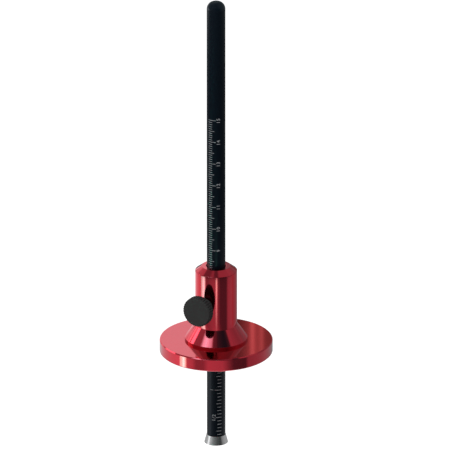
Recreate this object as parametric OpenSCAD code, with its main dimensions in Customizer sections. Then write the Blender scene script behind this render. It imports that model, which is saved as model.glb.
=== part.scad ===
// Wheel marking gauge: a round fence and its hub slide along a graduated rod that carries a cutter wheel.
// All lengths are millimetres. Z runs along the rod, and z = 0 is the working face of the fence.

/* [Fence] */
// Diameter of the fence disc
fence_d = 48.6; // [40:0.1:70]
// Thickness of the fence disc
fence_t = 5.6; // [4:0.1:9]
// Chamfer on both rims of the fence disc
fence_chamfer = 0.4; // [0.1:0.05:1.2]

/* [Hub] */
// Diameter of the straight column
column_d = 18; // [16.4:0.1:21]
// Height of the column, from the skirt to the top of the hub
column_h = 26.7; // [24:0.1:45]
// Width of the chamfer round the top of the column, across the axis
top_chamfer = 2.8; // [0.5:0.1:3]
// Height of that chamfer
top_chamfer_h = 2.1; // [0.5:0.1:3]
// Diameter of the skirt's foot
skirt_d = 27; // [24:0.1:36]
// Height of the skirt's cone
skirt_h = 6.1; // [3:0.1:10]
// Height of the straight land under the cone
skirt_land = 1; // [0.3:0.1:3]
// Wall of the spigot round the cutter's parking recess
spigot_wall = 2.4; // [1:0.1:3.5]
// Distance that the spigot stops short of the working face
spigot_short = 0.2; // [0.1:0.05:0.6]
// Chamfer at the mouths of the bore and of the clamp hole
mouth_chamfer = 0.3; // [0.1:0.05:0.6]

/* [Rod] */
// Diameter of the rod
rod_d = 8; // [7:0.1:10]
// Length of the rod
rod_l = 199.5; // [160:0.5:260]
// Diameter of the flat left in the middle of the rounded upper end
rod_flat_d = 1.6; // [0.4:0.1:4]
// Chamfer on the lower end, above the cutter
rod_chamfer = 0.25; // [0.1:0.05:0.5]

/* [Cutter] */
// Distance from the working face to the cutting edge, as the gauge is set here
setting = 42.3; // [6:0.1:100]
// Thickness of the cutter wheel
cutter_t = 3.7; // [3:0.1:5]
// Distance that the cutting edge stands out past the rod
cutter_proud = 1.1; // [0.7:0.05:2]
// Distance that the wheel's upper face stands out past the rod
cutter_shoulder = 0.15; // [0.05:0.05:0.4]
// Width of the flat ring between the cutting edge and the dish
edge_land = 0.9; // [0.4:0.1:1.2]
// Depth of the dish in the wheel's lower face
dish_depth = 0.5; // [0.2:0.05:0.8]
// Thread diameter of the cutter screw
screw_d = 3; // [2.5:0.1:3.5]
// Diameter of the cutter screw's countersunk head
screw_head_d = 6; // [5:0.1:6.4]
// Height of the straight rim on the screw's head
screw_rim = 0.2; // [0.1:0.05:0.4]
// Length of the screw inside the rod
screw_hold = 8; // [4:0.5:14]
// Width across the flats of the screw's hexagon socket
socket_af = 2; // [1.5:0.1:2.4]
// Depth of the hexagon socket
socket_depth = 1.2; // [0.6:0.1:1.6]

/* [Clamp] */
// Height of the clamp's axis above the skirt
clamp_up = 11.3; // [9:0.1:16]
// Thread diameter of the clamp stud
stud_d = 5; // [4.4:0.1:6]
// Diameter of the knob's head
knob_d = 13.2; // [10:0.1:18]
// Thickness of the knob's head
knob_t = 3.8; // [3:0.1:6]
// Chamfer on both edges of the knob's head
knob_chamfer = 0.5; // [0.2:0.05:1]
// Number of grooves round the knob's head
knurl_count = 36; // [16:1:48]
// Depth of the grooves
knurl_depth = 0.35; // [0.1:0.05:0.5]
// Diameter of the boss behind the knob's head
boss_d = 7; // [7:0.1:9]
// Length of the boss
boss_l = 4.6; // [3:0.1:8]
// Space between the boss and the column with the clamp tight
boss_gap = 0.8; // [0.3:0.1:2]
// Thickness of the knob's face over the end of the stud
stud_cover = 2; // [1:0.1:2.8]
// Thickness of the clamp pad's head
pad_t = 1; // [0.6:0.1:2]
// Distance that the pad's radius is smaller than the stud's
pad_step = 0.5; // [0.2:0.05:0.7]
// Diameter of the pad's pin in the stud's tip
pad_pin_d = 2; // [1.4:0.1:2.4]
// Length of the pad's pin
pad_pin_l = 2; // [1:0.1:3]

/* [O-rings] */
// Section diameter of each ring
ring_section = 1.5; // [1:0.1:2]
// Distance from the top of the hub to the upper ring's centre
upper_ring_down = 5; // [4.5:0.1:8]
// Distance from the parking recess to the lower ring's centre
lower_ring_up = 4.8; // [3:0.1:7]
// Extra width of each ring's groove
groove_slack = 0.4; // [0.2:0.1:0.8]

/* [Fits] */
// Radial clearance of everything that turns or slides
run_gap = 0.05; // [0.02:0.01:0.1]
// Radial clearance of everything that is bonded or screwed home
bond_gap = 0.03; // [0.01:0.01:0.06]
// Clearance between the clamp pad and the rod with the clamp tight
pad_gap = 0.03; // [0.02:0.01:0.1]
// Room round and above the cutter when it is parked
park_gap = 0.4; // [0.2:0.05:0.8]

/* [Hidden] */
$fn = 96;
// Overshoot of a cut past the face that it opens
over = 1;

fence_r = fence_d / 2;
column_r = column_d / 2;
skirt_r = skirt_d / 2;
rod_r = rod_d / 2;
bore_r = rod_r + run_gap;

cutter_r = rod_r + cutter_proud;
cutter_top_r = rod_r + cutter_shoulder;
cutter_z = -setting;
rod_z = cutter_z + cutter_t;
dish_r = cutter_r - edge_land;
screw_r = screw_d / 2;
screw_head_r = screw_head_d / 2;
screw_cone_h = screw_head_r - screw_r;

recess_r = cutter_r + park_gap;
recess_top = spigot_short + cutter_t + park_gap;
spigot_r = recess_r + spigot_wall;

cone_z = fence_t + skirt_land;
column_z = cone_z + skirt_h;
hub_top = column_z + column_h;

ring_r = rod_r + run_gap + ring_section / 2;
groove_r = ring_r + ring_section / 2 + run_gap;
groove_w = ring_section + groove_slack;
upper_ring_z = hub_top - upper_ring_down;
lower_ring_z = recess_top + lower_ring_up;

// Distances from the rod's axis along the clamp
clamp_z = column_z + clamp_up;
stud_r = stud_d / 2;
pad_from = rod_r + pad_gap;
pad_to = pad_from + pad_t;
stud_from = pad_to + run_gap;
boss_from = column_r + boss_gap;
head_from = boss_from + boss_l;
knob_to = head_from + knob_t;
stud_to = knob_to - stud_cover;

anodised_red = [0.62, 0.05, 0.08];
anodised_black = [0.07, 0.07, 0.08];
knob_grey = [0.2, 0.2, 0.2];
bright_steel = [0.75, 0.76, 0.78];
dull_steel = [0.5, 0.51, 0.53];
brass_yellow = [0.78, 0.62, 0.3];
rubber_black = [0.05, 0.05, 0.05];

// Places its children on the clamp's axis, with their Z pointing out of the hub and zero on the rod's axis
module along_clamp() {
    translate([0, 0, clamp_z]) rotate([90, 0, 0]) children();
}

// Disc with both rims chamfered and a hole for the hub's spigot
module fence_disc() {
    color(anodised_red)
    difference() {
        rotate_extrude()
            polygon([
                [0, 0],
                [fence_r - fence_chamfer, 0],
                [fence_r, fence_chamfer],
                [fence_r, fence_t - fence_chamfer],
                [fence_r - fence_chamfer, fence_t],
                [0, fence_t]
            ]);
        translate([0, 0, -over]) cylinder(r = spigot_r + bond_gap, h = fence_t + 2 * over);
    }
}

// Outer form of the hub: spigot, skirt and column
module hub_form() {
    rotate_extrude()
        polygon([
            [0, spigot_short],
            [spigot_r, spigot_short],
            [spigot_r, fence_t],
            [skirt_r, fence_t],
            [skirt_r, cone_z],
            [column_r, column_z],
            [column_r, hub_top - top_chamfer_h],
            [column_r - top_chamfer, hub_top],
            [0, hub_top]
        ]);
}

// Groove in the bore for one ring
module ring_groove(z) {
    translate([0, 0, z - groove_w / 2]) cylinder(r = groove_r, h = groove_w);
}

// Threaded hole for the clamp stud, through one wall of the column
module clamp_hole() {
    hole_r = stud_r + run_gap;
    along_clamp() {
        cylinder(r = hole_r, h = column_r + over);
        translate([0, 0, column_r - mouth_chamfer])
            cylinder(r1 = hole_r, r2 = hole_r + mouth_chamfer + over, h = mouth_chamfer + over);
    }
}

module hub() {
    color(anodised_red)
    difference() {
        hub_form();
        translate([0, 0, -over]) cylinder(r = bore_r, h = hub_top + 2 * over);
        translate([0, 0, hub_top - mouth_chamfer])
            cylinder(r1 = bore_r, r2 = bore_r + mouth_chamfer + over, h = mouth_chamfer + over);
        translate([0, 0, -over]) cylinder(r = recess_r, h = recess_top + over);
        ring_groove(upper_ring_z);
        ring_groove(lower_ring_z);
        clamp_hole();
    }
}

// One rubber ring round the rod
module o_ring(z) {
    color(rubber_black)
    translate([0, 0, z])
        rotate_extrude()
            translate([ring_r, 0]) circle(d = ring_section);
}

module upper_o_ring() {
    o_ring(upper_ring_z);
}

module lower_o_ring() {
    o_ring(lower_ring_z);
}

// Round bar with a domed upper end, a chamfered lower end and a tapped hole for the cutter screw
module rod() {
    flat_r = rod_flat_d / 2;
    dome_r = rod_r - flat_r;
    color(anodised_black)
    translate([0, 0, rod_z])
        difference() {
            rotate_extrude() {
                polygon([
                    [0, 0],
                    [rod_r - rod_chamfer, 0],
                    [rod_r, rod_chamfer],
                    [rod_r, rod_l - dome_r],
                    [flat_r, rod_l - dome_r],
                    [flat_r, rod_l],
                    [0, rod_l]
                ]);
                translate([flat_r, rod_l - dome_r])
                    intersection() {
                        circle(r = dome_r);
                        square(dome_r);
                    }
            }
            translate([0, 0, -over]) cylinder(r = screw_r + bond_gap, h = screw_hold + 2 * over);
        }
}

// Bevelled wheel: the bevel faces the fence, and the dished lower face leaves a thin flat ring at the edge
module cutter_wheel() {
    color(bright_steel)
    translate([0, 0, cutter_z])
        difference() {
            cylinder(r1 = cutter_r, r2 = cutter_top_r, h = cutter_t);
            translate([0, 0, -over]) cylinder(r = screw_r + run_gap, h = cutter_t + 2 * over);
            translate([0, 0, -over]) cylinder(r = dish_r, h = dish_depth + over);
            translate([0, 0, dish_depth])
                cylinder(r1 = screw_head_r + run_gap, r2 = screw_r + run_gap, h = screw_cone_h);
        }
}

// Countersunk screw whose head lies in the wheel's dish
module cutter_screw() {
    color(dull_steel)
    translate([0, 0, cutter_z + dish_depth])
        difference() {
            union() {
                translate([0, 0, -screw_rim]) cylinder(r = screw_head_r, h = screw_rim);
                cylinder(r1 = screw_head_r, r2 = screw_r, h = screw_cone_h);
                cylinder(r = screw_r, h = cutter_t - dish_depth + screw_hold);
            }
            translate([0, 0, -screw_rim - over])
                cylinder(d = socket_af / cos(30), h = socket_depth + over, $fn = 6);
        }
}

// One groove of the knob's grip, cut into the rim of the head
module knurl_groove() {
    half_w = knurl_depth;
    translate([knob_d / 2, 0, head_from - over])
        linear_extrude(knob_t + 2 * over)
            polygon([[-knurl_depth, 0], [knurl_depth, -2 * half_w], [knurl_depth, 2 * half_w]]);
}

// Knob with a grooved head, a plain boss and a blind hole that holds the stud
module clamp_knob() {
    knob_r = knob_d / 2;
    boss_r = boss_d / 2;
    color(knob_grey)
    along_clamp()
        difference() {
            rotate_extrude()
                polygon([
                    [0, boss_from],
                    [boss_r, boss_from],
                    [boss_r, head_from],
                    [knob_r - knob_chamfer, head_from],
                    [knob_r, head_from + knob_chamfer],
                    [knob_r, knob_to - knob_chamfer],
                    [knob_r - knob_chamfer, knob_to],
                    [0, knob_to]
                ]);
            for (i = [0 : knurl_count - 1]) rotate([0, 0, i * 360 / knurl_count]) knurl_groove();
            translate([0, 0, boss_from - over])
                cylinder(r = stud_r + bond_gap, h = stud_to + bond_gap - boss_from + over);
        }
}

// Threaded stud, drilled at its tip for the pad's pin
module clamp_stud() {
    color(dull_steel)
    along_clamp()
        difference() {
            translate([0, 0, stud_from]) cylinder(r = stud_r, h = stud_to - stud_from);
            translate([0, 0, stud_from - over])
                cylinder(r = pad_pin_d / 2 + run_gap, h = pad_pin_l + 2 * run_gap + over);
        }
}

// Pad that bears on the rod, with a pin on which the stud turns
module clamp_pad() {
    color(brass_yellow)
    along_clamp() {
        translate([0, 0, pad_from]) cylinder(r = stud_r - pad_step, h = pad_t);
        translate([0, 0, pad_from]) cylinder(d = pad_pin_d, h = pad_t + pad_pin_l);
    }
}

fence_disc();
hub();
upper_o_ring();
lower_o_ring();
rod();
cutter_wheel();
cutter_screw();
clamp_knob();
clamp_stud();
clamp_pad();
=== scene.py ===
"""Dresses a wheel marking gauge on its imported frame.

Each class below builds one sub-assembly: it holds the sizes in millimetres, works out the
meshes with numpy and gives every piece its finish. +Z runs up the rod, z = 0 is the working
face of the fence and the clamp knob points along -Y. A turn round the rod is given in
degrees from -Y towards +X.
"""

import logging
import math
from collections.abc import Callable, Sequence
from dataclasses import dataclass
from enum import Enum

import bmesh
import bpy
import numpy as np
from mathutils import Matrix, Vector

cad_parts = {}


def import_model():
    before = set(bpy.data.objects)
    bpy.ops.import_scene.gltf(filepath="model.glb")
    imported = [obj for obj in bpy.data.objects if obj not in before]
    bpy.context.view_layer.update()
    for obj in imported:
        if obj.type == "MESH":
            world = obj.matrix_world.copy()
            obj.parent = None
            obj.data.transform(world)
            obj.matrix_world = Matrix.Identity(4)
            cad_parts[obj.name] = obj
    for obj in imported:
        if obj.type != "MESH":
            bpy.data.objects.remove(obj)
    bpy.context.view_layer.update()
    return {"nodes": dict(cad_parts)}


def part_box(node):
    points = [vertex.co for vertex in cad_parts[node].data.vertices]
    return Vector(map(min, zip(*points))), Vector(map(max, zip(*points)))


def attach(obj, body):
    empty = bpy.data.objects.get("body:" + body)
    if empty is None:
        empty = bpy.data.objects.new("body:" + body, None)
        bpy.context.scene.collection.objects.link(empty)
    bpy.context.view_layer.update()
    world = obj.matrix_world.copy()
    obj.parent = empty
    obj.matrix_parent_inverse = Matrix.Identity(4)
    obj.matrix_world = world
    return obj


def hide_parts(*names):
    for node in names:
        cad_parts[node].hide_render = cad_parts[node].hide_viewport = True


Array = np.ndarray
Material = bpy.types.Material
Mesh = bpy.types.Mesh
Object = bpy.types.Object
Socket = bpy.types.NodeSocket
Tree = bpy.types.NodeTree
Ceiling = Callable[[Array, Array], Array]
Colour = tuple[float, float, float]

MM = 0.001
FULL_TURN = 2 * math.pi
SHARP_EDGE = math.radians(40)
ARC_STEP = math.radians(9)
ARC_STEPS_MIN = 3
GUARD = 0.06
UV_NAME = "turned"
GLOW_NAME = "glow"
LOG = logging.getLogger("gauge")


@dataclass(frozen=True)
class Corner:
    """A corner of a half section.

    Attributes:
        r: Distance from the axis, in mm.
        z: Height, in mm.
        ease: Radius of the arc that rounds the corner, in mm; zero leaves it sharp.
    """

    r: float
    z: float
    ease: float = 0.0


def corner_arc(spot: Array, before: Array, after: Array, ease: float) -> Array:
    """Rounds one corner by the arc that touches the runs on both sides of it.

    The arc's centre lies on the bisector, ease / sin(half the corner's angle) from the
    corner. A point on it is centre + (start - centre) cos a + heading * ease * sin a.

    Args:
        spot: Corner point.
        before: Corner before it.
        after: Corner after it.
        ease: Radius of the arc in mm.

    Returns:
        Points of the arc, or the corner itself where it stays sharp.
    """
    if ease == 0:
        return spot[None]
    back = (before - spot) / np.linalg.norm(before - spot)
    ahead = (after - spot) / np.linalg.norm(after - spot)
    half = math.acos(np.clip(back @ ahead, -1, 1)) / 2
    start = spot + back * ease / math.tan(half)
    centre = spot + (back + ahead) / np.linalg.norm(back + ahead) * ease / math.sin(half)
    sweep = math.pi - 2 * half
    steps = max(ARC_STEPS_MIN, math.ceil(sweep / ARC_STEP))
    angle = np.linspace(0, sweep, steps + 1)[:, None]
    return centre + (start - centre) * np.cos(angle) - back * ease * np.sin(angle)


def run_points(start: Array, end: Array, pitch: float) -> Array:
    """Samples the inside of a straight run.

    Args:
        start: First end of the run.
        end: Other end of the run.
        pitch: Largest distance between points, in mm.

    Returns:
        Points from a guard distance after the start to a guard distance before the end,
        so that smooth shading bends only in the guards.
    """
    length = float(np.linalg.norm(end - start))
    if length < 4 * GUARD:
        return np.empty((0, 2))
    count = max(1, math.ceil((length - 2 * GUARD) / pitch))
    share = np.linspace(GUARD, length - GUARD, count + 1)[:, None] / length
    return start + (end - start) * share


def half_section(corners: Sequence[Corner], pitch: float) -> Array:
    """Joins eased corners and straight runs into one half section.

    Args:
        corners: Corners in order, with the solid on the left of the way round. A section that
            starts on the axis ends there; the last corner of any other joins the first.
        pitch: Largest distance between points on a straight run, in mm.

    Returns:
        (n, 2) array of radii and heights in mm.
    """
    spots = np.array([(c.r, c.z) for c in corners])
    before = np.roll(spots, 1, axis=0)
    after = np.roll(spots, -1, axis=0)
    arcs = [corner_arc(*ends, c.ease) for *ends, c in zip(spots, before, after, corners)]
    stretches = []
    for arc, other in zip(arcs, arcs[1:] + arcs[:1]):
        stretches += [arc, run_points(arc[-1], other[0], pitch)]
    if corners[0].r == 0:
        stretches.pop()
    return np.concatenate(stretches)


def turn_angle(turn: Array | float) -> Array | float:
    """Gives the angle from +X, in radians, of a turn in degrees from -Y."""
    return np.radians(turn - 90)


def grid_quads(grid: Array) -> Array:
    """Gives the four corners of every cell of a grid, along a new third axis."""
    return np.stack((grid[:-1, :-1], grid[:-1, 1:], grid[1:, 1:], grid[1:, :-1]), axis=2)


def smooth(mesh: Mesh) -> None:
    """Shades a mesh smoothly, with sharp edges where its faces meet steeply."""
    mesh.shade_smooth()
    mesh.set_sharp_from_angle(angle=SHARP_EDGE)


def mesh_from(name: str, points: Array, faces: list, corner_uv: Array | None = None) -> Mesh:
    """Makes a smooth mesh.

    Args:
        name: Name of the mesh and of its piece.
        points: (n, 3) places in mm.
        faces: Lists of point numbers.
        corner_uv: (m, 2) texture place of every face corner in turn.

    Returns:
        The mesh, in metres.
    """
    mesh = bpy.data.meshes.new(name)
    mesh.from_pydata((points * MM).tolist(), [], faces)
    if corner_uv is not None:
        layer = mesh.uv_layers.new(name=UV_NAME)
        layer.data.foreach_set("uv", corner_uv.astype(np.float32).ravel())
    smooth(mesh)
    return mesh


@dataclass(frozen=True)
class Turning:
    """A turned piece: a half section carried round its axis.

    Attributes:
        section: (n, 2) radii and heights in mm; it starts and ends on the axis, or it is a
            ring round a bore.
        segments: Steps round the axis.
        ceiling: Largest radius at a turn and a height, for flutes and threads.
    """

    section: Array
    segments: int = 192
    ceiling: Ceiling | None = None

    @classmethod
    def from_corners(
        cls, corners: Sequence[Corner], pitch: float = math.inf, **others: object
    ) -> "Turning":
        """Makes a turning from its corners, the pitch on straight runs and the other values."""
        return cls(half_section(corners, pitch), **others)

    @property
    def closed(self) -> bool:
        """Tells whether the section is a ring round a bore."""
        return self.section[0, 0] > 0

    def grid(self) -> Array:
        """Works out the points: x = r cos t, y = r sin t, z = z, with r held under the ceiling.

        Returns:
            (rows, segments, 3) places in mm.
        """
        turn = np.arange(self.segments) * FULL_TURN / self.segments
        r = np.repeat(self.section[:, :1], self.segments, axis=1)
        z = np.repeat(self.section[:, 1:], self.segments, axis=1)
        if self.ceiling is not None:
            r = np.minimum(r, self.ceiling(turn[None, :], z))
        return np.stack((r * np.cos(turn), r * np.sin(turn), z), axis=2)

    def numbering(self) -> Array:
        """Numbers the points, with one number for a whole row that lies on the axis.

        Returns:
            Point numbers by row and turn, whose last column repeats the first. A ring's first
            row is repeated at its end.
        """
        rows = len(self.section) if self.closed else len(self.section) - 2
        number = np.arange(rows * self.segments).reshape(rows, self.segments)
        if self.closed:
            number = np.vstack((number, number[:1]))
        else:
            low = np.full((1, self.segments), number.size)
            number = np.vstack((low, number, low + 1))
        return np.hstack((number, number[:, :1]))

    def mesh(self, name: str, place: Matrix | None = None) -> Mesh:
        """Skins the grid with quads, and with fans of triangles round points on the axis.

        Args:
            name: Name of the mesh.
            place: Where the axis and its zero lie, in mm; on the rod's axis if left out.

        Returns:
            The closed mesh. Its texture runs once round the axis in u, and in v by the
            length along the section, in mm.
        """
        grid = self.grid()
        if self.closed:
            points = grid.reshape(-1, 3)
            path = np.vstack((self.section, self.section[:1]))
            bands = [(slice(None), [0, 1, 2, 3])]
        else:
            points = np.vstack((grid[1:-1].reshape(-1, 3), grid[0, 0], grid[-1, 0]))
            path = self.section
            first, last = slice(0, 1), slice(-1, None)
            bands = [(first, [0, 2, 3]), (slice(1, -1), [0, 1, 2, 3]), (last, [0, 1, 2])]
        length = np.concatenate(([0], np.cumsum(np.linalg.norm(np.diff(path, axis=0), axis=1))))
        share = np.linspace(0, 1, self.segments + 1)
        uv = np.stack(np.broadcast_arrays(share[None, :], length[:, None]), axis=2)
        quads, quad_uv = grid_quads(self.numbering()), grid_quads(uv)
        faces, corner_uv = [], []
        for band, kept in bands:
            faces += quads[band][:, :, kept].reshape(-1, len(kept)).tolist()
            corner_uv.append(quad_uv[band][:, :, kept].reshape(-1, 2))
        if place is not None:
            turned = np.array(place)
            points = points @ turned[:3, :3].T + turned[:3, 3]
        return mesh_from(name, points, faces, np.concatenate(corner_uv))


def add_object(name: str, data: bpy.types.ID) -> Object:
    """Puts a mesh, a text, a lamp or a camera into the scene.

    Args:
        name: Name of the object.
        data: What it shows.

    Returns:
        The new object, at the origin.
    """
    item = bpy.data.objects.new(name, data)
    bpy.context.scene.collection.objects.link(item)
    return item


def shown_mesh(item: Object) -> Mesh:
    """Gives a mesh of an object as its modifiers or its text show it."""
    graph = bpy.context.evaluated_depsgraph_get()
    return bpy.data.meshes.new_from_object(item.evaluated_get(graph))


def cut_away(mesh: Mesh, tool: Mesh) -> Mesh:
    """Cuts one closed mesh out of another.

    Args:
        mesh: Mesh that is cut.
        tool: Mesh that is taken away from it.

    Returns:
        The cut mesh, under the first one's name.
    """
    name = mesh.name
    blank, cutter = add_object("blank", mesh), add_object("tool", tool)
    cut = blank.modifiers.new("cut", "BOOLEAN")
    cut.operation = "DIFFERENCE"
    cut.solver = "EXACT"
    cut.object = cutter
    result = shown_mesh(blank)
    for item in (blank, cutter):
        bpy.data.objects.remove(item)
    for spent in (mesh, tool):
        bpy.data.meshes.remove(spent)
    result.name = name
    smooth(result)
    return result


def feed(tree: Tree, node: bpy.types.Node, inputs: dict) -> None:
    """Sets the sockets of a shader node.

    Args:
        tree: Tree of the node.
        node: The node.
        inputs: Sockets by name or number, each with a plain value or the output to link.
    """
    for socket, value in inputs.items():
        if isinstance(value, Socket):
            tree.links.new(value, node.inputs[socket])
        else:
            node.inputs[socket].default_value = value


def add_node(tree: Tree, kind: str, inputs: dict, **settings: object) -> bpy.types.Node:
    """Adds a shader node.

    Args:
        tree: Tree that takes the node.
        kind: Blender's name for the kind of node, without its prefix.
        inputs: Sockets, as for feed.
        **settings: The node's own settings.

    Returns:
        The new node.
    """
    node = tree.nodes.new(f"ShaderNode{kind}")
    for name, value in settings.items():
        setattr(node, name, value)
    feed(tree, node, inputs)
    return node


def between(tree: Tree, share: Socket, low: float, high: float) -> Socket:
    """Gives an output that runs from low to high while a share runs from 0 to 1."""
    ends = {"Value": share, "To Min": low, "To Max": high}
    return add_node(tree, "MapRange", ends).outputs[0]


class Grain(Enum):
    """Which way the fine texture of a finish runs."""

    TURNED = "rings left by the lathe"
    DRAWN = "fine lines along the rod"
    PEBBLED = "fine moulded pebbles"
    SPECKLED = "fine specks"


GRAIN_DETAIL = {Grain.TURNED: 2.0, Grain.DRAWN: 4.0, Grain.PEBBLED: 1.0, Grain.SPECKLED: 4.0}
DRAWN_SQUEEZE = 0.02
BLOTCHES_PER_METRE = 220.0
BLOTCH_DETAIL = 5.0


@dataclass(frozen=True)
class Finish:
    """A surface finish.

    Attributes:
        slot: Material slot of the record that the finish belongs to.
        colour: Linear base colour.
        metallic: One for bare or anodised metal, zero for the rest.
        roughness: Mean roughness.
        grain: Direction of the fine texture.
        grain_pitch: Spacing of the texture, in mm.
        grain_depth: Height of the texture, in mm.
        mottle: Share by which the colour wanders.
        scuff: Share by which the roughness wanders.
        specular: Specular level of what isn't metal.
        edge_tint: Tint of the reflections, on metal of those that graze the surface.
        coat: Weight of the clear layer.
        coat_roughness: Roughness of the clear layer.
    """

    slot: str
    colour: Colour
    metallic: float
    roughness: float
    grain: Grain
    grain_pitch: float
    grain_depth: float
    mottle: float = 0.08
    scuff: float = 0.25
    specular: float = 0.5
    edge_tint: Colour = (1.0, 1.0, 1.0)
    coat: float = 0.0
    coat_roughness: float = 0.05

    def texture(self, tree: Tree) -> Socket:
        """Builds the fine texture.

        Args:
            tree: Tree of the material.

        Returns:
            The output that carries the texture's height, from 0 to 1.
        """
        place = add_node(tree, "TexCoord", {})
        detail = GRAIN_DETAIL[self.grain]
        if self.grain is Grain.TURNED:
            along = add_node(tree, "SeparateXYZ", {"Vector": place.outputs["UV"]})
            sockets = {"W": along.outputs["Y"], "Scale": 1 / self.grain_pitch, "Detail": detail}
            return add_node(tree, "TexNoise", sockets, noise_dimensions="1D").outputs[0]
        across = 1 / (self.grain_pitch * MM)
        along = across * DRAWN_SQUEEZE if self.grain is Grain.DRAWN else across
        sockets = {"Vector": place.outputs["Object"], "Scale": (across, across, along)}
        spread = add_node(tree, "Mapping", sockets).outputs["Vector"]
        sockets = {"Vector": spread, "Scale": 1.0, "Detail": detail}
        return add_node(tree, "TexNoise", sockets).outputs[0]

    def material(self) -> Material:
        """Builds the material, or returns it if it is built already.

        Returns:
            A material whose colour and roughness wander and whose texture stands in relief.
        """
        name = f"{self.slot}_finish"
        if name in bpy.data.materials:
            return bpy.data.materials[name]
        material = bpy.data.materials.new(name)
        material.use_nodes = True
        tree = material.node_tree
        height = self.texture(tree)
        place = add_node(tree, "TexCoord", {}).outputs["Object"]
        sockets = {"Vector": place, "Scale": BLOTCHES_PER_METRE, "Detail": BLOTCH_DETAIL}
        blotches = add_node(tree, "TexNoise", sockets).outputs[0]
        dark, pale = (tuple(c * (1 + sign * self.mottle) for c in self.colour) for sign in (-1, 1))
        sockets = {0: blotches, 6: (*dark, 1.0), 7: (*pale, 1.0)}
        tint = add_node(tree, "Mix", sockets, data_type="RGBA")
        low, high = (self.roughness * (1 + sign * self.scuff) for sign in (-1, 1))
        relief = add_node(tree, "Bump", {"Height": height, "Distance": self.grain_depth * MM})
        surface = {
            "Base Color": tint.outputs[2],
            "Roughness": between(tree, height, low, high),
            "Normal": relief.outputs["Normal"],
            "Metallic": self.metallic,
            "Specular IOR Level": self.specular,
            "Specular Tint": (*self.edge_tint, 1.0),
            "Coat Weight": self.coat,
            "Coat Roughness": self.coat_roughness,
        }
        feed(tree, tree.nodes["Principled BSDF"], surface)
        return material


RED_ANODISED = Finish(
    slot="red_anodised", colour=(0.58, 0.012, 0.032), metallic=1.0, roughness=0.09,
    grain=Grain.TURNED, grain_pitch=0.07, grain_depth=0.0002, mottle=0.05,
    edge_tint=(1.0, 0.8, 0.85), coat=0.6,
)
BLACK_ANODISED = Finish(
    slot="black_anodised", colour=(0.0012, 0.003, 0.0068), metallic=0.0, roughness=0.32,
    grain=Grain.DRAWN, grain_pitch=0.12, grain_depth=0.001,
    specular=0.26, edge_tint=(0.74, 0.85, 1.0),
)
CUTTER_STEEL = Finish(
    slot="cutter_steel", colour=(0.66, 0.66, 0.67), metallic=1.0, roughness=0.22,
    grain=Grain.TURNED, grain_pitch=0.09, grain_depth=0.0004,
)
SCREW_STEEL = Finish(
    slot="screw_steel", colour=(0.46, 0.46, 0.48), metallic=1.0, roughness=0.32,
    grain=Grain.SPECKLED, grain_pitch=0.2, grain_depth=0.002,
)
KNOB_PLASTIC = Finish(
    slot="knob_plastic", colour=(0.032, 0.0285, 0.029), metallic=0.0, roughness=0.65,
    grain=Grain.PEBBLED, grain_pitch=0.16, grain_depth=0.012, specular=0.12,
)
PAD_BRASS = Finish(
    slot="pad_brass", colour=(0.72, 0.48, 0.17), metallic=1.0, roughness=0.27,
    grain=Grain.TURNED, grain_pitch=0.1, grain_depth=0.001,
)
RING_RUBBER = Finish(
    slot="ring_rubber", colour=(0.018, 0.018, 0.018), metallic=0.0, roughness=0.7,
    grain=Grain.SPECKLED, grain_pitch=0.15, grain_depth=0.004,
)
SCALE_MARKS = Finish(
    slot="scale_marks", colour=(0.32, 0.33, 0.35), metallic=0.0, roughness=0.6,
    grain=Grain.SPECKLED, grain_pitch=0.08, grain_depth=0.002, mottle=0.18,
)


def add_piece(mesh: Mesh, finish: Finish, body: str, *replaced: str) -> None:
    """Puts a mesh into the scene as a finished piece of one body.

    Args:
        mesh: Mesh of the piece.
        finish: Its finish.
        body: Body that carries it.
        *replaced: Frame nodes that it stands for.
    """
    piece = add_object(mesh.name, mesh)
    mesh.materials.clear()
    mesh.materials.append(finish.material())
    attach(piece, body)
    if replaced:
        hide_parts(*replaced)
    LOG.info("%s: %d faces, on body %s", piece.name, len(mesh.polygons), body)


def node_box(node: str) -> tuple[Array, Array]:
    """Gives a frame node's lowest and highest corner, in mm."""
    low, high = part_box(node)
    return np.array(low) / MM, np.array(high) / MM


def beside_axis(height: float) -> Matrix:
    """Gives the place of the clamp's axis at a height, with its own Z pointing out along -Y."""
    return Matrix.Translation((0, 0, height)) @ Matrix.Rotation(math.pi / 2, 4, "X")


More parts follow.
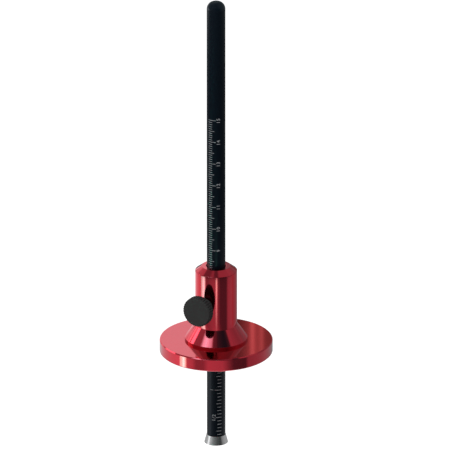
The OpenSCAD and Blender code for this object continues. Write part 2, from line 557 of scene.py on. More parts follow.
@dataclass
class Head:
    """The fence disc and the hub that is bonded into it.

    Attributes:
        fence_r: Radius of the disc.
        fence_t: Thickness of the disc.
        skirt_r: Radius of the skirt's foot.
        hub_top: Height of the hub's upper face.
        spigot_z: Height of the spigot's lower face.
        clamp_z: Height of the clamp's axis.
        groove_heights: Heights of the ring grooves, from the top down.
    """

    fence_r: float
    fence_t: float
    skirt_r: float
    hub_top: float
    spigot_z: float
    clamp_z: float
    groove_heights: tuple[float, ...]
    fence_chamfer: float = 0.4
    column_r: float = 9.0
    top_chamfer: float = 2.8
    top_chamfer_h: float = 2.1
    skirt_land: float = 1.0
    skirt_h: float = 6.1
    spigot_r: float = 7.9
    bond_gap: float = 0.03
    recess_r: float = 5.5
    recess_top: float = 4.3
    bore_r: float = 4.05
    mouth: float = 0.3
    groove_r: float = 5.6
    groove_w: float = 1.9
    clamp_hole_r: float = 2.55
    drill_over: float = 1.0
    drill_segments: int = 96
    rim_ease: float = 0.12
    edge_ease: float = 0.18
    foot_ease: float = 0.05
    root_ease: float = 0.25
    segments: int = 256
    run_pitch: float = 2.0

    @classmethod
    def from_frame(cls) -> "Head":
        """Takes the main sizes from the frame's own nodes.

        Returns:
            The head.
        """
        _, disc = node_box("fence_disc")
        low, high = node_box("hub")
        knob_low, knob_high = node_box("clamp_knob")
        return cls(
            fence_r=disc[0],
            fence_t=disc[2],
            skirt_r=high[0],
            hub_top=high[2],
            spigot_z=low[2],
            clamp_z=(knob_low[2] + knob_high[2]) / 2,
            groove_heights=tuple(Rings.from_frame().heights.values()),
        )

    def turned(self, name: str, corners: Sequence[Corner]) -> Mesh:
        """Turns a piece of the head, with its own pitch and steps."""
        return Turning.from_corners(corners, self.run_pitch, segments=self.segments).mesh(name)

    def disc_mesh(self) -> Mesh:
        """Turns the disc: a flat ring whose rims carry eased chamfers.

        Returns:
            The disc's mesh.
        """
        hole = self.spigot_r + self.bond_gap
        inner = self.fence_r - self.fence_chamfer
        upper = self.fence_t - self.fence_chamfer
        corners = [
            Corner(hole, 0, self.rim_ease),
            Corner(inner, 0, self.rim_ease),
            Corner(self.fence_r, self.fence_chamfer, self.rim_ease),
            Corner(self.fence_r, upper, self.rim_ease),
            Corner(inner, self.fence_t, self.rim_ease),
            Corner(hole, self.fence_t, self.rim_ease),
        ]
        return self.turned("fence_plate", corners)

    def groove(self, height: float) -> list[Corner]:
        """Gives the corners of one ring groove.

        Args:
            height: Height of the groove's middle.

        Returns:
            Its corners, from its upper lip down the bore.
        """
        upper = height + self.groove_w / 2
        lower = height - self.groove_w / 2
        return [
            Corner(self.bore_r, upper, self.rim_ease),
            Corner(self.groove_r, upper, self.rim_ease),
            Corner(self.groove_r, lower, self.rim_ease),
            Corner(self.bore_r, lower, self.rim_ease),
        ]

    def hub_mesh(self) -> Mesh:
        """Turns the hub and cuts the clamp hole.

        The section runs up the spigot, skirt, cone, column and chamfer, and back down the
        bore past both ring grooves to the cutter's parking recess.

        Returns:
            The hub's mesh.
        """
        cone_z = self.fence_t + self.skirt_land
        corners = [
            Corner(self.recess_r, self.spigot_z, self.rim_ease),
            Corner(self.spigot_r, self.spigot_z, self.rim_ease),
            Corner(self.spigot_r, self.fence_t),
            Corner(self.skirt_r, self.fence_t, self.foot_ease),
            Corner(self.skirt_r, cone_z, self.edge_ease),
            Corner(self.column_r, cone_z + self.skirt_h, self.root_ease),
            Corner(self.column_r, self.hub_top - self.top_chamfer_h, self.edge_ease),
            Corner(self.column_r - self.top_chamfer, self.hub_top, self.edge_ease),
            Corner(self.bore_r + self.mouth, self.hub_top, self.rim_ease),
            Corner(self.bore_r, self.hub_top - self.mouth, self.rim_ease),
            *(corner for height in self.groove_heights for corner in self.groove(height)),
            Corner(self.bore_r, self.recess_top, self.rim_ease),
            Corner(self.recess_r, self.recess_top, self.rim_ease),
        ]
        return cut_away(self.turned("hub_turned", corners), self.clamp_drill())

    def clamp_drill(self) -> Mesh:
        """Turns the tool for the clamp hole: a drill with a wide cone for the hole's mouth.

        Returns:
            The tool's mesh, at the clamp's axis.
        """
        beyond = self.column_r + self.drill_over
        corners = [
            Corner(0, 0),
            Corner(self.clamp_hole_r, 0),
            Corner(self.clamp_hole_r, self.column_r - self.mouth),
            Corner(self.clamp_hole_r + self.drill_over + self.mouth, beyond),
            Corner(0, beyond),
        ]
        drill = Turning.from_corners(corners, segments=self.drill_segments)
        return drill.mesh("clamp_drill", beside_axis(self.clamp_z))

    def build(self) -> None:
        """Builds and dresses the disc and the hub."""
        add_piece(self.disc_mesh(), RED_ANODISED, "head", "fence_disc")
        add_piece(self.hub_mesh(), RED_ANODISED, "head", "hub")


@dataclass
class Rings:
    """The two rubber rings in the hub's bore.

    Attributes:
        heights: Heights of the rings, by the names of their frame nodes.
        outer_r: Outer radius of a ring.
        cord_r: Radius of its round section.
    """

    heights: dict[str, float]
    outer_r: float
    cord_r: float
    section_steps: int = 40

    @classmethod
    def from_frame(cls) -> "Rings":
        """Takes both rings' places from the frame.

        Returns:
            The rings.
        """
        boxes = {node: node_box(node) for node in ("upper_o_ring", "lower_o_ring")}
        heights = {node: (low[2] + high[2]) / 2 for node, (low, high) in boxes.items()}
        low, high = boxes["upper_o_ring"]
        return cls(heights, outer_r=high[0], cord_r=(high[2] - low[2]) / 2)

    def build(self) -> None:
        """Carries each ring's section round the rod: r = middle + c cos a, z = height + c sin a."""
        angle = np.arange(self.section_steps) * FULL_TURN / self.section_steps
        r = self.outer_r - self.cord_r + self.cord_r * np.cos(angle)
        for node, height in self.heights.items():
            section = np.column_stack((r, height + self.cord_r * np.sin(angle)))
            add_piece(Turning(section).mesh(f"{node}_moulded"), RING_RUBBER, "rings", node)


@dataclass
class Rod:
    """The round bar.

    Attributes:
        radius: Radius of the bar.
        low: Height of the lower end.
        high: Height of the rounded end.
    """

    radius: float
    low: float
    high: float
    flat_r: float = 0.8
    chamfer: float = 0.25
    hole_r: float = 1.53
    hole_depth: float = 9.0
    ease: float = 0.08
    run_pitch: float = 10.0

    @classmethod
    def from_frame(cls) -> "Rod":
        """Takes the bar's ends and radius from the frame."""
        low, high = node_box("rod")
        return cls(radius=high[0], low=low[2], high=high[2])

    def build(self) -> None:
        """Turns the bar: a tapped hole, a chamfer, the long wall and a dome with a small flat."""
        corners = [
            Corner(0, self.low + self.hole_depth),
            Corner(self.hole_r, self.low + self.hole_depth),
            Corner(self.hole_r, self.low),
            Corner(self.radius - self.chamfer, self.low, self.ease),
            Corner(self.radius, self.low + self.chamfer, self.ease),
            Corner(self.radius, self.high, self.radius - self.flat_r),
            Corner(0, self.high),
        ]
        bar = Turning.from_corners(corners, self.run_pitch)
        add_piece(bar.mesh("rod_bar"), BLACK_ANODISED, "rod", "rod")


class Unit(Enum):
    """The divisions of a scale, each by its length in mm."""

    MILLIMETRE = 1.0
    SIXTEENTH_INCH = 25.4 / 16


class Side(Enum):
    """The side of the rod that carries a stretch of scale, by its turn in degrees."""

    FRONT = 28.0
    BACK = 208.0


@dataclass(frozen=True)
class Layout:
    """Where a scale's lines and numbers lie, in degrees from the middle of its side of the rod.

    Attributes:
        root: Turn at which every line starts.
        tips: Turns at which lines end, by the number of divisions that they count.
        number_turns: Turn of the middle of each kind of number, by the same counts.
    """

    root: float
    tips: dict[int, float]
    number_turns: dict[int, float]


LAYOUTS = {
    Unit.MILLIMETRE: Layout(root=-52, tips={10: -2, 5: -12, 1: -25}, number_turns={10: 14}),
    Unit.SIXTEENTH_INCH: Layout(
        root=34, tips={16: -9, 8: -2, 4: 2, 1: 8}, number_turns={16: -28, 8: -15}
    ),
}


@dataclass(frozen=True)
class Stretch:
    """A run of a scale's divisions on one side of the rod.

    Attributes:
        side: Side of the rod.
        first: First division, counted from the cutting edge.
        last: Last division.
    """

    side: Side
    first: int
    last: int


SCALES = {
    "metric": (Unit.MILLIMETRE, [Stretch(Side.BACK, 5, 56), Stretch(Side.FRONT, 57, 150)]),
    "inch": (Unit.SIXTEENTH_INCH, [Stretch(Side.FRONT, 3, 32), Stretch(Side.BACK, 40, 96)]),
}


@dataclass
class Scale:
    """The lines and numbers on the rod, which count from the cutting edge.

    Attributes:
        rod_r: Radius of the rod.
        zero_z: Height of the cutting edge.
    """

    rod_r: float
    zero_z: float
    proud: float = 0.015
    sunk: float = 0.05
    line_w: float = 0.18
    line_steps: int = 8
    numeral_h: float = 1.5
    numeral_spread: float = 1.2
    numeral_over_size: float = 0.7
    curve_steps: int = 4
    cut_step: float = 0.25
    cut_reach: float = 1e-5
    weld_reach: float = 1e-4

    @classmethod
    def from_frame(cls) -> "Scale":
        """Takes the rod's radius and the cutting edge's height from the frame.

        Returns:
            The scale.
        """
        _, rod = node_box("rod")
        wheel, _ = node_box("cutter_wheel")
        return cls(rod_r=rod[0], zero_z=wheel[2])

    def lines_mesh(self, name: str, unit: Unit, stretches: Sequence[Stretch]) -> Mesh:
        """Carries a small rectangle along an arc of the rod's wall for every line of a scale.

        Args:
            name: Name of the mesh.
            unit: The scale's divisions.
            stretches: Runs of divisions that are marked.

        Returns:
            One mesh of closed, curved bars.
        """
        layout = LAYOUTS[unit]
        division = np.concatenate([np.arange(s.first, s.last + 1) for s in stretches])
        middle = np.concatenate([np.full(s.last - s.first + 1, s.side.value) for s in stretches])
        longest = [division % count == 0 for count in layout.tips]
        tip = np.select(longest, list(layout.tips.values()))
        first, last = np.sort(np.vstack((np.full(len(tip), layout.root), tip)), axis=0) + middle
        share = np.linspace(0, 1, self.line_steps + 1)
        turn = turn_angle(first[:, None] + (last - first)[:, None] * share)[:, :, None]
        inner, outer = self.rod_r - self.sunk, self.rod_r + self.proud
        radius = np.array([inner, outer, outer, inner])
        rise = np.array([-1, -1, 1, 1]) * self.line_w / 2
        height = (self.zero_z + division * unit.value)[:, None, None] + rise
        places = np.broadcast_arrays(radius * np.cos(turn), radius * np.sin(turn), height)
        points = np.stack(places, axis=3)
        number = np.arange(points.size // 3).reshape(points.shape[:3])
        around = np.concatenate((number, number[:, :, :1]), axis=2)
        near, far = around[:, :-1], around[:, 1:]
        walls = np.stack((near[..., :-1], far[..., :-1], far[..., 1:], near[..., 1:]), axis=3)
        caps = np.concatenate((number[:, 0], number[:, -1, ::-1]))
        faces = walls.reshape(-1, 4).tolist() + caps.tolist()
        return mesh_from(name, points.reshape(-1, 3), faces)

    def numeral(self, text: str) -> tuple[Array, Array]:
        """Makes a flat number as a thin closed solid, cut into strips that can bend round the rod.

        Args:
            text: The number.

        Returns:
            Points in mm, with u along the number, v up it and w out of its face, and the
            point numbers of its triangles.
        """
        curve = bpy.data.curves.new("numeral", "FONT")
        curve.body = text
        curve.size = self.numeral_h / self.numeral_over_size
        curve.space_character = self.numeral_spread
        curve.extrude = (self.proud + self.sunk) / 2
        curve.resolution_u = self.curve_steps
        holder = add_object("numeral", curve)
        flat = shown_mesh(holder)
        bpy.data.objects.remove(holder)
        bpy.data.curves.remove(curve)
        solid = bmesh.new()
        solid.from_mesh(flat)
        bmesh.ops.remove_doubles(solid, verts=solid.verts, dist=self.weld_reach)
        levels = np.arange(self.cut_step, 2 * self.numeral_h, self.cut_step) - self.numeral_h / 2
        for level in levels:
            plane = {"plane_co": (0, level, 0), "plane_no": (0, 1, 0), "dist": self.cut_reach}
            everything = [*solid.verts, *solid.edges, *solid.faces]
            bmesh.ops.bisect_plane(solid, geom=everything, **plane)
        bmesh.ops.triangulate(solid, faces=solid.faces)
        bmesh.ops.recalc_face_normals(solid, faces=solid.faces)
        solid.to_mesh(flat)
        solid.free()
        points = np.empty(len(flat.vertices) * 3)
        flat.vertices.foreach_get("co", points)
        corners = np.empty(len(flat.loops), dtype=int)
        flat.loops.foreach_get("vertex_index", corners)
        bpy.data.meshes.remove(flat)
        points = points.reshape(-1, 3)
        points -= (points.max(axis=0) + points.min(axis=0)) / 2
        points[:, 2] += (self.proud - self.sunk) / 2
        return points, corners.reshape(-1, 3)

    def wrapped(self, flat: Array, turn: float, height: float) -> Array:
        """Lays a flat number on the rod: u climbs it, v runs back round it and w stands out.

        Args:
            flat: Points from numeral().
            turn: Turn of the number's middle, in degrees.
            height: Height of its middle.

        Returns:
            Places in mm.
        """
        along, across, out = flat.T
        angle = turn_angle(turn) - across / self.rod_r
        r = self.rod_r + out
        return np.column_stack((r * np.cos(angle), r * np.sin(angle), height + along))

    def number_text(self, unit: Unit, division: int) -> str:
        """Gives the number at a division: whole centimetres or inches, or a half."""
        whole = max(LAYOUTS[unit].number_turns)
        return str(division // whole) if division % whole == 0 else "1/2"

    def numbers_mesh(self, name: str, unit: Unit, stretches: Sequence[Stretch]) -> Mesh:
        """Lays a scale's numbers on the rod, each reading up the rod beside its line.

        Args:
            name: Name of the mesh.
            unit: The scale's divisions.
            stretches: Runs of divisions that are numbered.

        Returns:
            One mesh of thin closed solids.
        """
        turns = LAYOUTS[unit].number_turns
        step = min(turns)
        points, faces, count = [], [], 0
        for stretch in stretches:
            first = math.ceil(max(stretch.first, 1) / step) * step
            for division in range(first, stretch.last + 1, step):
                turn = next(turns[kind] for kind in turns if division % kind == 0)
                flat, corners = self.numeral(self.number_text(unit, division))
                height = self.zero_z + division * unit.value
                points.append(self.wrapped(flat, stretch.side.value + turn, height))
                faces += (corners + count).tolist()
                count += len(flat)
        return mesh_from(name, np.concatenate(points), faces)

    def build(self) -> None:
        """Builds both scales, each of which changes sides inside the head."""
        for name, (unit, stretches) in SCALES.items():
            lines = self.lines_mesh(f"{name}_lines", unit, stretches)
            numbers = self.numbers_mesh(f"{name}_numbers", unit, stretches)
            for mesh in (lines, numbers):
                add_piece(mesh, SCALE_MARKS, "rod")


@dataclass
class Cutter:
    """The bevelled wheel and the countersunk screw that holds it under the rod.

    Attributes:
        edge_r: Radius of the cutting edge.
        low: Height of the cutting edge.
        high: Height of the wheel's upper face.
        screw_top: Height of the screw's upper end.
    """

    edge_r: float
    low: float
    high: float
    screw_top: float
    upper_r: float = 4.15
    edge_land: float = 0.9
    dish_depth: float = 0.5
    run_gap: float = 0.05
    screw_r: float = 1.5
    head_r: float = 3.0
    head_rim: float = 0.2
    socket_across: float = 2.0
    socket_depth: float = 1.2
    socket_tip: float = 0.25
    socket_over: float = 1.0
    edge_ease: float = 0.02
    ease: float = 0.06

    @classmethod
    def from_frame(cls) -> "Cutter":
        """Takes the wheel's and the screw's places from the frame.

        Returns:
            The cutter.
        """
        low, high = node_box("cutter_wheel")
        _, screw = node_box("cutter_screw")
        return cls(edge_r=high[0], low=low[2], high=high[2], screw_top=screw[2])

    def wheel_mesh(self) -> Mesh:
        """Turns the wheel: a bevel up to the rod, and a dished lower face with a countersunk hole.

        Returns:
            The wheel's mesh.
        """
        dish_r = self.edge_r - self.edge_land
        seat_z = self.low + self.dish_depth
        hole_r = self.screw_r + self.run_gap
        corners = [
            Corner(dish_r, self.low, self.ease),
            Corner(self.edge_r, self.low, self.edge_ease),
            Corner(self.upper_r, self.high, self.ease),
            Corner(hole_r, self.high, self.ease),
            Corner(hole_r, seat_z + self.head_r - self.screw_r),
            Corner(self.head_r + self.run_gap, seat_z, self.ease),
            Corner(dish_r, seat_z, self.ease),
        ]
        return Turning.from_corners(corners).mesh("wheel_ground")

    def screw_mesh(self) -> Mesh:
        """Turns the screw and cuts its hexagon socket, which ends in a shallow point.

        Returns:
            The screw's mesh.
        """
        seat_z = self.low + self.dish_depth
        head_z = seat_z - self.head_rim
        corners = [
            Corner(0, head_z),
            Corner(self.head_r, head_z, self.ease),
            Corner(self.head_r, seat_z, self.ease),
            Corner(self.screw_r, seat_z + self.head_r - self.screw_r),
            Corner(self.screw_r, self.screw_top, self.ease),
            Corner(0, self.screw_top),
        ]
        reach = self.socket_across / 2 / math.cos(math.pi / 6)
        hexagon = [
            Corner(0, head_z - self.socket_over),
            Corner(reach, head_z - self.socket_over),
            Corner(reach, head_z + self.socket_depth),
            Corner(0, head_z + self.socket_depth + reach * self.socket_tip),
        ]
        blank = Turning.from_corners(corners).mesh("wheel_screw")
        return cut_away(blank, Turning.from_corners(hexagon, segments=6).mesh("socket"))

    def build(self) -> None:
        """Builds and dresses the wheel and its screw."""
        add_piece(self.wheel_mesh(), CUTTER_STEEL, "cutter", "cutter_wheel")
        add_piece(self.screw_mesh(), SCREW_STEEL, "rod", "cutter_screw")


@dataclass
class Clamp:
    """The thumb knob, its threaded stud and the pad on the stud's tip.

    Attributes:
        axis_z: Height of the clamp's axis.
        knob_r: Radius of the knob's head.
        boss_from: Distance of the boss's end from the rod's axis.
        knob_to: Distance of the knob's face.
        stud_from: Distance of the stud's tip.
        stud_to: Distance of the stud's end inside the knob.
        pad_from: Distance of the pad's face.
        pin_to: Distance of the end of the pad's pin.
    """

    axis_z: float
    knob_r: float
    boss_from: float
    knob_to: float
    stud_from: float
    stud_to: float
    pad_from: float
    pin_to: float
    knob_t: float = 3.8
    knob_chamfer: float = 0.5
    knob_pitch: float = 0.6
    boss_r: float = 3.5
    flutes: int = 36
    flute_steps: int = 14
    flute_depth: float = 0.35
    flute_round: float = 0.06
    stud_r: float = 2.5
    stud_chamfer: float = 0.5
    stud_pitch: float = 0.06
    thread_pitch: float = 0.8
    thread_depth: float = 0.46
    thread_slope: float = 1.5
    thread_crest: float = 0.25
    bond_gap: float = 0.03
    run_gap: float = 0.05
    pad_t: float = 1.0
    pad_r: float = 2.0
    pin_r: float = 1.0
    ease: float = 0.15
    small_ease: float = 0.06
    segments: int = 96

    @classmethod
    def from_frame(cls) -> "Clamp":
        """Takes the places along the clamp's axis from the frame; -Y points outwards.

        Returns:
            The clamp.
        """
        knob_low, knob_high = node_box("clamp_knob")
        stud_low, stud_high = node_box("clamp_stud")
        pad_low, pad_high = node_box("clamp_pad")
        return cls(
            axis_z=(knob_low[2] + knob_high[2]) / 2,
            knob_r=knob_high[0],
            boss_from=-knob_high[1],
            knob_to=-knob_low[1],
            stud_from=-stud_high[1],
            stud_to=-stud_low[1],
            pad_from=-pad_high[1],
            pin_to=-pad_low[1],
        )

    def fluting(self, turn: Array, along: Array) -> Array:
        """Gives the head's outer limit: root + |distance from the flute's middle|, eased there.

        Args:
            turn: Turns round the clamp's axis, in radians.
            along: Distances along the axis.

        Returns:
            Largest radius at each point; no limit on the boss.
        """
        spacing = FULL_TURN / self.flutes
        off = np.abs((turn + spacing / 2) % spacing - spacing / 2) * self.knob_r
        root = self.knob_r - self.flute_depth
        limit = root + np.sqrt(off**2 + self.flute_round**2) - self.flute_round
        return np.where(along > self.knob_to - self.knob_t - self.small_ease, limit, np.inf)

    def thread(self, turn: Array, along: Array) -> Array:
        """Gives the stud's outer limit: a right-hand thread with flat crests and roots.

        Args:
            turn: Turns round the clamp's axis, in radians.
            along: Distances along the axis.

        Returns:
            Largest radius at each point.
        """
        phase = (along / self.thread_pitch - turn / FULL_TURN) % 1
        depth = np.abs(2 * phase - 1) * self.thread_slope - self.thread_crest
        return self.stud_r - self.thread_depth * np.clip(depth, 0, 1)

    def knob_mesh(self) -> Mesh:
        """Turns the knob: a blind hole for the stud, a boss and a fluted head.

        Returns:
            The knob's mesh.
        """
        head_from = self.knob_to - self.knob_t
        hole_r = self.stud_r + self.bond_gap
        blind = self.stud_to + self.bond_gap
        face_r = self.knob_r - self.knob_chamfer
        corners = [
            Corner(0, blind),
            Corner(hole_r, blind),
            Corner(hole_r, self.boss_from),
            Corner(self.boss_r, self.boss_from, self.ease),
            Corner(self.boss_r, head_from, self.ease),
            Corner(face_r, head_from, self.ease),
            Corner(self.knob_r, head_from + self.knob_chamfer, self.ease),
            Corner(self.knob_r, self.knob_to - self.knob_chamfer, self.ease),
            Corner(face_r, self.knob_to, self.ease),
            Corner(0, self.knob_to),
        ]
        steps = self.flutes * self.flute_steps
        knob = Turning.from_corners(corners, self.knob_pitch, segments=steps, ceiling=self.fluting)
        return knob.mesh("knob_moulded", beside_axis(self.axis_z))

    def stud_mesh(self) -> Mesh:
        """Turns the stud: a hole for the pad's pin at its tip, and a thread along its wall.

        Returns:
            The stud's mesh.
        """
        hole_r = self.pin_r + self.run_gap
        hole_to = self.pin_to + self.run_gap
        corners = [
            Corner(0, hole_to),
            Corner(hole_r, hole_to),
            Corner(hole_r, self.stud_from),
            Corner(self.stud_r - self.stud_chamfer, self.stud_from),
            Corner(self.stud_r, self.stud_from + self.stud_chamfer),
            Corner(self.stud_r, self.stud_to),
            Corner(0, self.stud_to),
        ]
        shape = {"segments": self.segments, "ceiling": self.thread}
        stud = Turning.from_corners(corners, self.stud_pitch, **shape)
        return stud.mesh("stud_threaded", beside_axis(self.axis_z))

    def pad_mesh(self) -> Mesh:
        """Turns the pad: a flat head and the pin on which the stud turns.

        Returns:
            The pad's mesh.
        """
        corners = [
            Corner(0, self.pad_from),
            Corner(self.pad_r, self.pad_from, self.small_ease),
            Corner(self.pad_r, self.pad_from + self.pad_t, self.small_ease),
            Corner(self.pin_r, self.pad_from + self.pad_t, self.small_ease),
            Corner(self.pin_r, self.pin_to, self.small_ease),
            Corner(0, self.pin_to),
        ]
        pad = Turning.from_corners(corners, segments=self.segments)
        return pad.mesh("pad_turned", beside_axis(self.axis_z))

    def build(self) -> None:
        """Builds and dresses the knob, the stud and the pad."""
        add_piece(self.knob_mesh(), KNOB_PLASTIC, "knob", "clamp_knob")
        add_piece(self.stud_mesh(), SCREW_STEEL, "knob", "clamp_stud")
        add_piece(self.pad_mesh(), PAD_BRASS, "pad", "clamp_pad")


@dataclass(frozen=True)
class Screen:
    """A bright and dark screen round the gauge that only its polished surfaces see.

    Attributes:
        foot: Distance from the axis and height of the lower edge, in mm.
        head: Distance and height of the upper edge.
        glows: Brightness by the turn from the camera's, in degrees; white paper in plain
            light is 1, and the brightness runs evenly from turn to turn.
        head_gain: Brightness of the upper edge as a share of the lower edge's.
        tint: Colour of the light.
        haze: Light that the whole screen adds to it.
        turn_step: Largest turn between points, in degrees.
    """

    foot: tuple[float, float]
    head: tuple[float, float]
    glows: dict[float, float]
    head_gain: float = 1.0
    tint: Colour = (1.0, 1.0, 1.0)
    haze: Colour = (0.0, 0.0, 0.0)
    turn_step: float = 4.0

    def mesh(self, name: str, camera_turn: float) -> Mesh:
        """Carries the straight line from foot to head round the rod's axis.

        Args:
            name: Name of the mesh.
            camera_turn: Turn of the camera, in degrees.

        Returns:
            An open sheet that carries its light as an attribute.
        """
        stops, glows = np.array(list(self.glows.items())).T
        turns = np.union1d(stops, np.arange(stops[0], stops[-1], self.turn_step))
        angle = turn_angle(camera_turn + turns)
        edges = np.array((self.foot, self.head))
        rounds = (edges[:, :1] * np.cos(angle), edges[:, :1] * np.sin(angle), edges[:, 1:])
        points = np.stack(np.broadcast_arrays(*rounds), axis=2)
        quads = grid_quads(np.arange(2 * len(turns)).reshape(2, -1))
        mesh = mesh_from(name, points.reshape(-1, 3), quads.reshape(-1, 4).tolist())
        edge_gain = np.array((1.0, self.head_gain))[:, None, None]
        light = edge_gain * np.interp(turns, stops, glows)[:, None] * np.array((*self.tint, 0.0))
        light += np.array((*self.haze, 1.0))
        glow = mesh.attributes.new(GLOW_NAME, "FLOAT_COLOR", "POINT")
        glow.data.foreach_set("color", light.astype(np.float32).ravel())
        return mesh


COOL = (0.04, 0.1, 0.1)
COLUMN_LIGHT = {
    "glows": {-92: 2, -82: 7.3, -72: 14, -67: 13, -62: 6.5, -57: 0.8},
    "tint": (0.12, 1.0, 0.7),
    "haze": (0.6, 0.0, 0.0),
}

SCREENS = {
    "lower_rod": Screen(
        (60, -140), (60, -22),
        {
            -180: 0.4, -110: 0.5, -90: 0.6, -86: 1.45, -73: 1.45, -68: 0.6, -50: 0.45, -30: 0.22,
            0: 0.1, 30: 0.05, 50: 0.05, 64: 0.28, 100: 0.45, 180: 0.45,
        },
    ),
    "fence_rim": Screen(
        (140, -60), (140, -41),
        {
            -180: 0.5, -140: 0.8, -76: 1.1, -57: 0.8, -46: 0.7, -38: 0.34, -24: 0.34, -15: 0.66,
            12: 0.6, 24: 0.28, 33: 0.08, 58: 0.06, 64: 0.34, 110: 0.42, 180: 0.12,
        },
        haze=COOL,
    ),
    "rim_light": Screen(
        (138, -60), (138, -41),
        {-76: 1.1, -74: 7, -68: 12, -65: 22, -62: 16, -59: 5.5, -57: 0.8},
        tint=(0.1, 1.0, 0.62), haze=(0.9, 0.0, 0.0),
    ),
    "rim_side": Screen((60, -22), (60, -8.8), {-156: 0.5, -118: 0.8, -65: 1.08}, haze=COOL),
    "rim_front": Screen((60, -22), (60, -7.6), {-9: 0.64, 8: 0.58}, haze=COOL),
    "column_left": Screen(
        (140, -41), (140, -15.8),
        {
            -180: 0.4, -150: 0.7, -120: 0.9, -90: 0.95, -64: 0.5, -48: 0.26, -33: 0.4, -2.6: 0.5,
        },
        haze=COOL,
    ),
    "column_light": Screen((138, -28), (138, -15.8), **COLUMN_LIGHT),
    "column_glint": Screen((138, -41), (138, -38), **COLUMN_LIGHT),
    "left_edges": Screen(
        (60, -8.8), (60, 16),
        {-176: 0.6, -165: 0.95, -140: 1.1, -115: 1.05, -86: 1},
        tint=(1.0, 0.8, 0.82),
    ),
    "column_gap": Screen((60, -6.5), (60, 5.5), {-86: 1, -57: 0.42}, haze=COOL),
    "column_near": Screen(
        (60, -7.6), (60, 16), {-57: 0.42, -44.5: 0.26, -30.6: 0.4, -3: 0.5}, haze=COOL
    ),
    "right_edges": Screen(
        (60, -8.8), (60, 16),
        {90: 0.47, 124: 0.33, 153: 0.25, 176: 0.2},
        tint=(1.0, 0.5, 0.55), haze=COOL,
    ),
    "column_right": Screen(
        (140, -41), (140, -15.8),
        {
            -0.6: 0.35, 14: 0.24, 22: 0.08, 56: 0.08, 67: 0.42, 90: 0.47, 130: 0.33, 160: 0.2,
            180: 0.1,
        },
        haze=COOL,
    ),
    "column_stripe": Screen(
        (138, -41), (138, -15.8),
        {-4.8: 0, 2.1: 0.55, 9: 0},
        head_gain=17.0, tint=(0.22, 1.0, 0.65), haze=(0.42, 0.44, 0.44),
    ),
    "upper_rod": Screen(
        (310, -150), (310, 45),
        {-180: 0.3, -150: 0.15, -100: 0.06, -70: 0.03, 60: 0.05, 100: 0.12, 180: 0.22},
        tint=(0.65, 0.75, 0.8),
    ),
    "rod_end": Screen(
        (60, 146), (60, 184), {-85: 0.18, -65: 0.3, -50: 0.3, -20: 0.15, 0: 0.1}, haze=COOL
    ),
    "skirt_foot": Screen(
        (340, 25), (263, 88),
        {
            -180: 1.05, -168: 1.05, -150: 1.3, -97: 1.3, -94: 0.4, -40: 0.4, 40: 0.1, 80: 0.4,
            100: 0.3, 180: 0.2,
        },
        haze=COOL,
    ),
    "skirt_edge": Screen(
        (263, 88), (253, 96),
        {
            -180: 1.05, -168: 1.05, -150: 1, -128: 1, -122: 2.8, -97: 2.8, -94: 0.4, -40: 0.4,
            40: 0.1, 80: 0.4, 100: 0.3, 180: 0.2,
        },
        haze=COOL,
    ),
    "skirt_gap": Screen(
        (253, 96), (241, 106),
        {
            -180: 1.05, -166: 1.05, -158: 0.4, -128: 0.4, -122: 0.9, -110: 0.9, -106: 0.4,
            -40: 0.4, 40: 0.1, 80: 0.4, 180: 0.2,
        },
        haze=COOL,
    ),
    "skirt_sides": Screen(
        (241, 106), (190, 148),
        {
            -180: 1.05, -168: 1.05, -150: 1, -128: 1, -120: 2.8, -97: 3.8, -94: 0.4, -40: 0.4,
            40: 0.1, 80: 0.4, 100: 0.3, 180: 0.3,
        },
        haze=COOL,
    ),
    "skirt_front": Screen(
        (190, 148), (125, 201),
        {
            -180: 0.2, -130: 0.65, -112: 0.6, -95: 0.4, -58: 0.4, -22: 0.2, 2: 0.1, 6: 0.03,
            58: 0.03, 64: 0.45, 115: 0.45, 180: 0.15,
        },
        haze=COOL,
    ),
    "skirt_light": Screen(
        (188, 148), (123, 201),
        {
            -67: 0.4, -62: 2.8, -57: 6.2, -52: 7, -45: 8.6, -38: 6.6, -29: 5, -22: 4.2, -14: 0.2,
        },
        tint=(0.22, 1.0, 0.88), haze=(0.3, 0.0, 0.0),
    ),
    "skirt_shade": Screen(
        (188, 148), (123, 201),
        {8: 0.065, 17: 0.044, 26: 0.031, 36: 0.021, 46: 0.02, 55: 0.063, 58: 0.07},
        haze=(0.0, 0.1, 0.1),
    ),
    "chamfer": Screen(
        (125, 201), (40, 270),
        {
            -180: 0.3, -120: 0.36, -105: 0.2, -85: 0.18, -65: 0.36, -50: 0.36, -20: 0.15, 0: 0.1,
            60: 0.4, 110: 0.4, 122: 0.24, 180: 0.15,
        },
        haze=COOL,
    ),
    "ceiling": Screen(
        (40, 270), (0.1, 271),
        {-180: 0.15, -90: 0.3, -40: 0.15, 20: 0.12, 90: 0.36, 180: 0.15},
        haze=COOL,
    ),
    "fence_top": Screen(
        (145, 38), (145, 92),
        {
            150: 0.25, 171.6: 0.26, 172.2: 0.7, 172.8: 0.38, 173.2: 0.42, 173.8: 0.95,
            174.4: 0.34, 176: 0.16, 180: 0.1,
        },
        tint=(1.0, 0.5, 0.46),
    ),
}


def look_back(item: Object, middle: Vector, toward: Vector, distance: float) -> None:
    """Stands a camera or a lamp off from a point and turns it to face that point.

    Args:
        item: The camera or lamp.
        middle: The point, in mm.
        toward: Unit vector from the point to the item.
        distance: Distance between the two, in mm.
    """
    item.location = (middle + toward * distance) * MM
    item.rotation_mode = "QUATERNION"
    item.rotation_quaternion = (-toward).to_track_quat("-Z", "Y")


def blank_material(name: str) -> Material:
    """Makes a material that has no surface shader yet.

    Args:
        name: Name of the material.

    Returns:
        The material.
    """
    material = bpy.data.materials.new(name)
    material.use_nodes = True
    material.node_tree.nodes.remove(material.node_tree.nodes["Principled BSDF"])
    return material


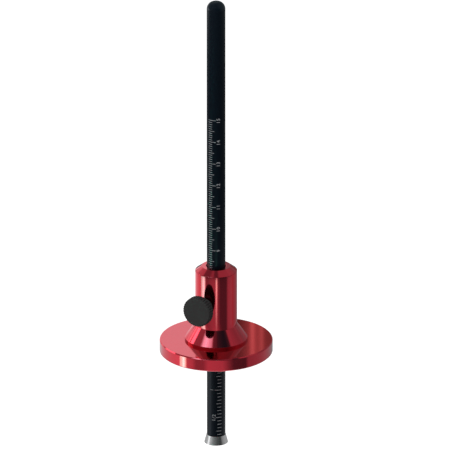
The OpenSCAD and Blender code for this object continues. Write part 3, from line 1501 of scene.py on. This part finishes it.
def seen_directly(tree: Tree) -> Socket:
    """Tells the rays of the camera and of polished or clear surfaces from all others.

    Args:
        tree: Tree of the material or of the world.

    Returns:
        The output that is 1 for those rays and 0 for the rest.
    """
    path = add_node(tree, "LightPath", {})
    seen = path.outputs["Is Camera Ray"]
    for kind in ("Is Glossy Ray", "Is Transmission Ray"):
        either = add_node(tree, "Math", {0: seen, 1: path.outputs[kind]}, operation="MAXIMUM")
        seen = either.outputs[0]
    return seen


@dataclass
class Studio:
    """The camera, the lamp, the screens and the floor.

    Attributes:
        camera_turn: Turn of the camera round the rod, in degrees.
        camera_rise: Its elevation, in degrees.
        distance: Its distance, in mm.
        field: Width of the picture at that distance, in mm.
        aim_right: Distance of the picture's middle from the rod's axis, towards the right.
        aim_z: Height of the picture's middle.
        floor_z: Height of the floor, below the lowest setting of the cutter.
    """

    camera_turn: float = 28.0
    camera_rise: float = 22.0
    distance: float = 9000.0
    field: float = 201.5
    sensor_w: float = 36.0
    aim_right: float = 8.1
    aim_z: float = 53.45
    floor_z: float = -152.0
    floor_half: float = 3000.0
    floor_grey: float = 0.8
    floor_glow: float = 0.7
    sky_glow: float = 0.45
    lamp_turn: float = -38.0
    lamp_rise: float = 52.0
    lamp_distance: float = 700.0
    lamp_size: float = 350.0
    lamp_watts: float = 2.4

    def direction(self, turn: float, rise: float) -> Vector:
        """Works out a direction from the gauge.

        Args:
            turn: Turn from the camera's, in degrees.
            rise: Elevation, in degrees.

        Returns:
            Its unit vector.
        """
        angle = math.radians(self.camera_turn + turn)
        lift = math.radians(rise)
        level = math.cos(lift)
        return Vector((math.sin(angle) * level, -math.cos(angle) * level, math.sin(lift)))

    def add_camera(self) -> None:
        """Places the camera on its line to the picture's middle."""
        camera = bpy.data.cameras.new("camera")
        camera.sensor_width = self.sensor_w
        camera.lens = self.sensor_w * self.distance / self.field
        aim = self.direction(90, 0) * self.aim_right + Vector((0, 0, self.aim_z))
        holder = add_object("camera", camera)
        look_back(holder, aim, self.direction(0, self.camera_rise), self.distance)
        bpy.context.scene.camera = holder

    def add_lamp(self) -> None:
        """Hangs the soft lamp; the screens stand for it in reflections."""
        lamp = bpy.data.lights.new("soft_lamp", "AREA")
        lamp.shape = "DISK"
        lamp.size = self.lamp_size * MM
        lamp.energy = self.lamp_watts
        holder = add_object("soft_lamp", lamp)
        toward = self.direction(self.lamp_turn, self.lamp_rise)
        look_back(holder, Vector(), toward, self.lamp_distance)
        holder.visible_glossy = False
        holder.visible_camera = False

    def add_sky(self) -> None:
        """Sets the white surroundings, which light dull surfaces less than they show."""
        world = bpy.data.worlds.new("white_room")
        world.use_nodes = True
        tree = world.node_tree
        strength = between(tree, seen_directly(tree), self.sky_glow, 1.0)
        feed(tree, tree.nodes["Background"], {"Color": (1, 1, 1, 1), "Strength": strength})
        bpy.context.scene.world = world

    def floor_material(self) -> Material:
        """Makes a pale floor that takes shadows, reads as white and is clear from below.

        Returns:
            The floor's material.
        """
        material = blank_material("pale_floor")
        tree = material.node_tree
        grey = (self.floor_grey,) * 3
        dull = add_node(tree, "BsdfDiffuse", {"Color": (*grey, 1)}).outputs[0]
        glow = between(tree, seen_directly(tree), 0.0, self.floor_glow)
        shine = add_node(tree, "Emission", {"Strength": glow}).outputs[0]
        above = add_node(tree, "AddShader", {0: dull, 1: shine}).outputs[0]
        below = add_node(tree, "BsdfTransparent", {}).outputs[0]
        side = add_node(tree, "NewGeometry", {}).outputs["Backfacing"]
        both = add_node(tree, "MixShader", {0: side, 1: above, 2: below}).outputs[0]
        feed(tree, tree.nodes["Material Output"], {"Surface": both})
        return material

    def add_floor(self) -> None:
        """Lays the floor below every setting of the cutter."""
        half = self.floor_half
        corners = np.array([(-half, -half), (half, -half), (half, half), (-half, half)])
        points = np.column_stack((corners, np.full(4, self.floor_z)))
        floor = add_object("floor", mesh_from("floor", points, [[0, 1, 2, 3]]))
        floor.data.materials.append(self.floor_material())

    def add_screens(self) -> None:
        """Stands the screens round the gauge, where only reflections show them."""
        material = blank_material("screen")
        tree = material.node_tree
        glow = add_node(tree, "Attribute", {}, attribute_name=GLOW_NAME)
        light = add_node(tree, "Emission", {"Color": glow.outputs["Color"]})
        feed(tree, tree.nodes["Material Output"], {"Surface": light.outputs[0]})
        for place, screen in SCREENS.items():
            name = f"{place}_screen"
            sheet = add_object(name, screen.mesh(name, self.camera_turn))
            sheet.data.materials.append(material)
            sheet.visible_camera = False
            sheet.visible_diffuse = False
            sheet.visible_shadow = False

    def build(self) -> None:
        """Sets up the camera, the light, the floor and plain colours."""
        bpy.context.scene.view_settings.view_transform = "Standard"
        self.add_camera()
        self.add_lamp()
        self.add_sky()
        self.add_floor()
        self.add_screens()


def main() -> None:
    """Loads the frame and builds every sub-assembly on it, then the studio."""
    logging.basicConfig(level=logging.INFO, format="%(name)s: %(message)s")
    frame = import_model()
    LOG.info("frame has nodes %s", ", ".join(sorted(frame["nodes"])))
    for part in (Head, Rings, Rod, Scale, Cutter, Clamp):
        part.from_frame().build()
    Studio().build()


if __name__ == "__main__":
    main()
